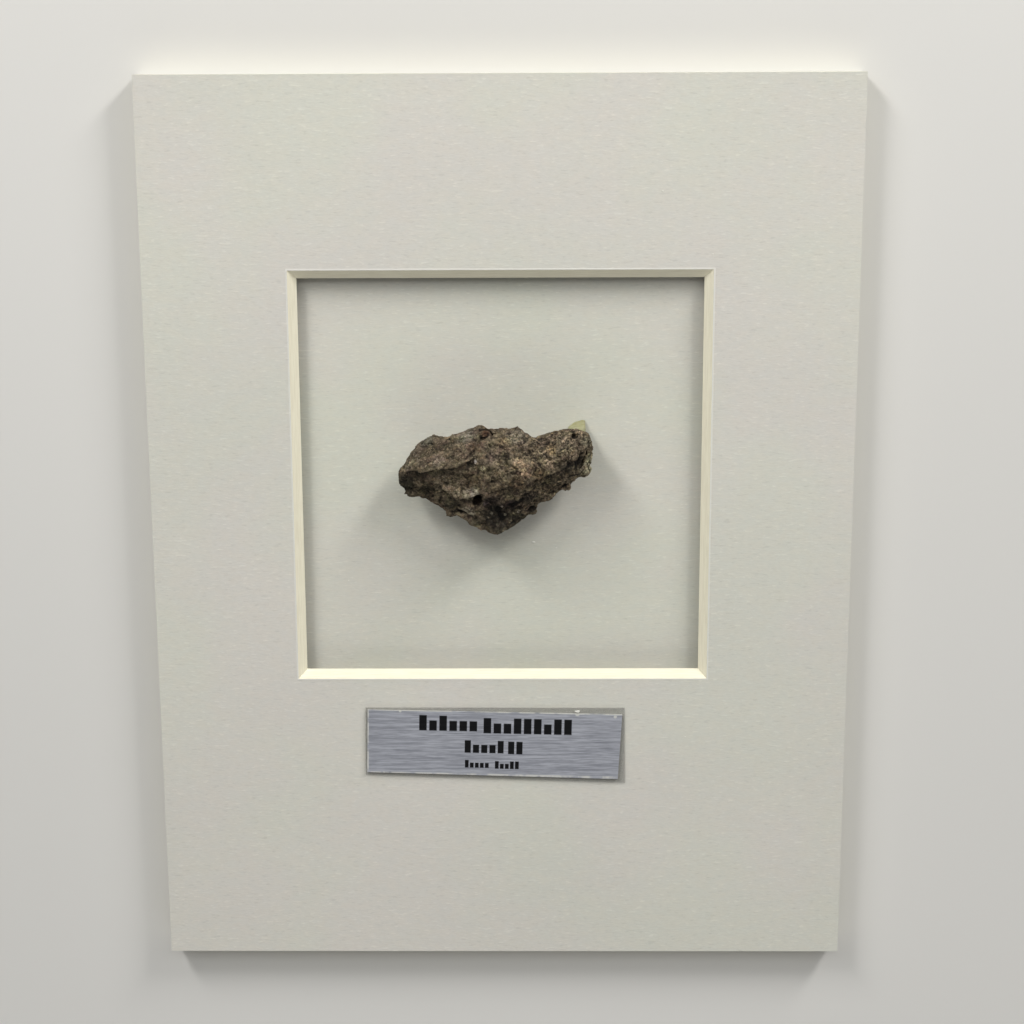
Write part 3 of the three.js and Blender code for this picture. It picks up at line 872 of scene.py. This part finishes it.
def build_stone():
    stone = remeshed("meteorite_stone", nodes["meteorite"], STONE_STEP, STONE_SMOOTHING)
    mesh = stone.data
    places = read_vectors(mesh.vertices, "co") / MM
    normals = read_vectors(mesh.vertex_normals, "vector")
    points = places - STONE_ORIGIN
    heights, hollow_shading, rim_highlights = stone_relief(points)
    places += normals * (heights - STONE_SINK)[:, None]
    relief = height_over_surroundings(mesh, places, normals, SURROUNDINGS_ROUNDS)
    # Painted shade where the surface lies below its surroundings, painted highlight on the rims and
    # where it stands above them
    hollow_shading = np.maximum(hollow_shading, 0.8 * smooth_step(relief, -0.03, -0.16))
    ridge_highlights = np.maximum(1.3 * rim_highlights, smooth_step(relief, 0.02, 0.12)) * (1 - hollow_shading)
    tints = stone_tint(points)
    places = clip_to_node(places * MM, "meteorite")
    mesh.vertices.foreach_set("co", places.astype(np.float32).ravel())
    masks = {"hollow_shade_and_seams": hollow_shading, "ridge_highlight": ridge_highlights}
    for name, values in masks.items():
        mesh.attributes.new(name, "FLOAT", "POINT").data.foreach_set("value", values.astype(np.float32))
    layer = mesh.attributes.new("tint", "FLOAT_COLOR", "POINT")
    layer.data.foreach_set("color", tints.astype(np.float32).ravel())
    mesh.update()
    mesh.materials.append(stone_material())
    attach(stone, "root")
    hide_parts("meteorite")
    return stone


# Glue

def glue_material():
    material, tree, surface = new_material("adhesive")
    place = millimetres(tree)
    cloudy = cloud(tree, place, 1.2, 3.0)
    colour = blend(tree, between(tree, cloudy, 0.35, 0.7), linear("9e9c79"), linear("94926f"))
    set_input(tree, surface.inputs["Base Color"], colour)
    surface.inputs["Roughness"].default_value = 0.5
    surface.inputs["Specular IOR Level"].default_value = 0.3
    surface.inputs["Subsurface Weight"].default_value = 0.8
    surface.inputs["Subsurface Radius"].default_value = (0.002, 0.002, 0.0014)
    set_input(tree, surface.inputs["Normal"], bump(tree, cloudy, 0.00006, 0.3))
    return material


def build_glue():
    """The dab, spread wide at its foot, and drawn up to the stone's arm."""
    glue = remeshed("adhesive_blob", nodes["adhesive_dab"], GLUE_STEP, GLUE_SMOOTHING)
    mesh = glue.data
    places = read_vectors(mesh.vertices, "co") / MM
    rise = np.clip((places[:, 2] - GLUE_FOOT[2]) / GLUE_HEIGHT, 0.0, 1.0)
    away = smooth_step(places[:, 1], GLUE_FOOT[1] + 0.1, GLUE_FOOT[1] + 1.0)
    places[:, 0] = GLUE_FOOT[0] + (places[:, 0] - GLUE_FOOT[0]) * (GLUE_SPREAD + GLUE_FLARE * rise)
    places[:, 1] = GLUE_FOOT[1] + (places[:, 1] - GLUE_FOOT[1]) * (1 + GLUE_FLARE * rise * (1 - away))
    higher = 1 + GLUE_RISE * (1 - away) - GLUE_LOWERING * away
    places[:, 2] = GLUE_FOOT[2] + (places[:, 2] - GLUE_FOOT[2]) * higher
    places += 0.12 * np.stack([lumps(places, 1.1, seed) for seed in (8, 9, 10)], axis=1)
    places = clip_to_node(places * MM, "adhesive_dab", above=GLUE_RISE * GLUE_HEIGHT)
    mesh.vertices.foreach_set("co", places.astype(np.float32).ravel())
    mesh.update()
    mesh.materials.append(glue_material())
    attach(glue, "root")
    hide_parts("adhesive_dab")
    return glue


# Crumbs

def crumb_material():
    material, tree, surface = new_material("paper_crumb")
    place = millimetres(tree)
    tone = cloud(tree, place, 3.0, 2.0)
    set_input(tree, surface.inputs["Base Color"],
              blend(tree, tone, linear("f4f3ee"), linear("e2e1d8")))
    surface.inputs["Roughness"].default_value = 0.9
    return material


def build_crumbs():
    """Small torn flakes of paper, joined in one mesh."""
    verts = []
    faces = []
    for number, (place, length) in enumerate(CRUMBS):
        turn = 0.8 + 2.1 * number
        base = len(verts)
        for level, spread in ((0.0, 1.0), (0.10, 0.7)):
            for corner in range(6):
                angle = turn + math.tau * corner / 6
                reach = spread * length / 2 * (0.8 + 0.2 * math.cos(3 * corner + number))
                x = reach * math.cos(angle)
                y = 0.55 * reach * math.sin(angle)
                verts.append(((place[0] + x) * MM, (place[1] + y) * MM, (place[2] + 0.02 + level) * MM))
        for corner in range(6):
            following = (corner + 1) % 6
            faces.append((base + corner, base + following, base + 6 + following, base + 6 + corner))
        faces.append(tuple(base + 6 + corner for corner in range(6)))
        faces.append(tuple(base + corner for corner in reversed(range(6))))
    mesh = bpy.data.meshes.new("paper_crumbs")
    mesh.from_pydata(verts, [], faces)
    mesh.materials.append(crumb_material())
    crumbs = bpy.data.objects.new("paper_crumbs", mesh)
    bpy.context.scene.collection.objects.link(crumbs)
    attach(crumbs, "root")
    return crumbs


# Stage

def build_floor():
    material, tree, surface = new_material("floor")
    tone = cloud(tree, millimetres(tree), 0.004, 2.0)
    colour = blend(tree, tone, linear("d9d8d4"), linear("deddda"))
    set_input(tree, surface.inputs["Base Color"], colour)
    surface.inputs["Roughness"].default_value = 0.7
    mesh = bpy.data.meshes.new("floor")
    side = 2.0
    corners = [(-side, -side, 0), (side, -side, 0), (side, side, 0), (-side, side, 0)]
    mesh.from_pydata(corners, [], [(0, 1, 2, 3)])
    mesh.materials.append(material)
    floor = bpy.data.objects.new("floor", mesh)
    bpy.context.scene.collection.objects.link(floor)


def build_light(name, place, width, height, power, colour):
    light = bpy.data.lights.new(name, "AREA")
    light.shape = "RECTANGLE"
    light.size = width * MM
    light.size_y = height * MM
    light.energy = power
    light.color = colour
    lamp = bpy.data.objects.new(name, light)
    bpy.context.scene.collection.objects.link(lamp)
    lamp.location = Vector(place) * MM
    aim = Vector((WINDOW_CENTRE[0], WINDOW_CENTRE[1], 0)) * MM - lamp.location
    lamp.rotation_euler = aim.to_track_quat("-Z", "Y").to_euler()


def build_world():
    world = bpy.data.worlds.new("studio")
    world.use_nodes = True
    background = world.node_tree.nodes["Background"]
    background.inputs["Color"].default_value = AMBIENT_COLOUR
    background.inputs["Strength"].default_value = AMBIENT_STRENGTH
    bpy.context.scene.world = world


def build_camera():
    data = bpy.data.cameras.new("camera")
    data.sensor_width = 36.0
    data.lens = CAMERA_LENS
    data.clip_start = 0.01
    camera = bpy.data.objects.new("camera", data)
    bpy.context.scene.collection.objects.link(camera)
    camera.matrix_world = Matrix.LocRotScale(
        Vector(CAMERA_PLACE) * MM,
        Matrix(CAMERA_AXES).transposed().to_quaternion(),
        None,
    )
    bpy.context.scene.camera = camera


def dress(node, material):
    """Gives a CAD node its finish. The node itself stays as it is."""
    mesh = nodes[node].data
    mesh.materials.clear()
    mesh.materials.append(material)


fibres = paper_group()
dress("window_mat", mat_material(fibres))
dress("backing_board", backing_material(fibres))
dress("label_film", film_material())
dress("label_plate", plate_material())
build_stone()
build_glue()
build_crumbs()
build_floor()
build_world()
for light_name, settings in LIGHTS.items():
    build_light(light_name, *settings)
build_camera()
bpy.context.scene.view_settings.view_transform = "Standard"
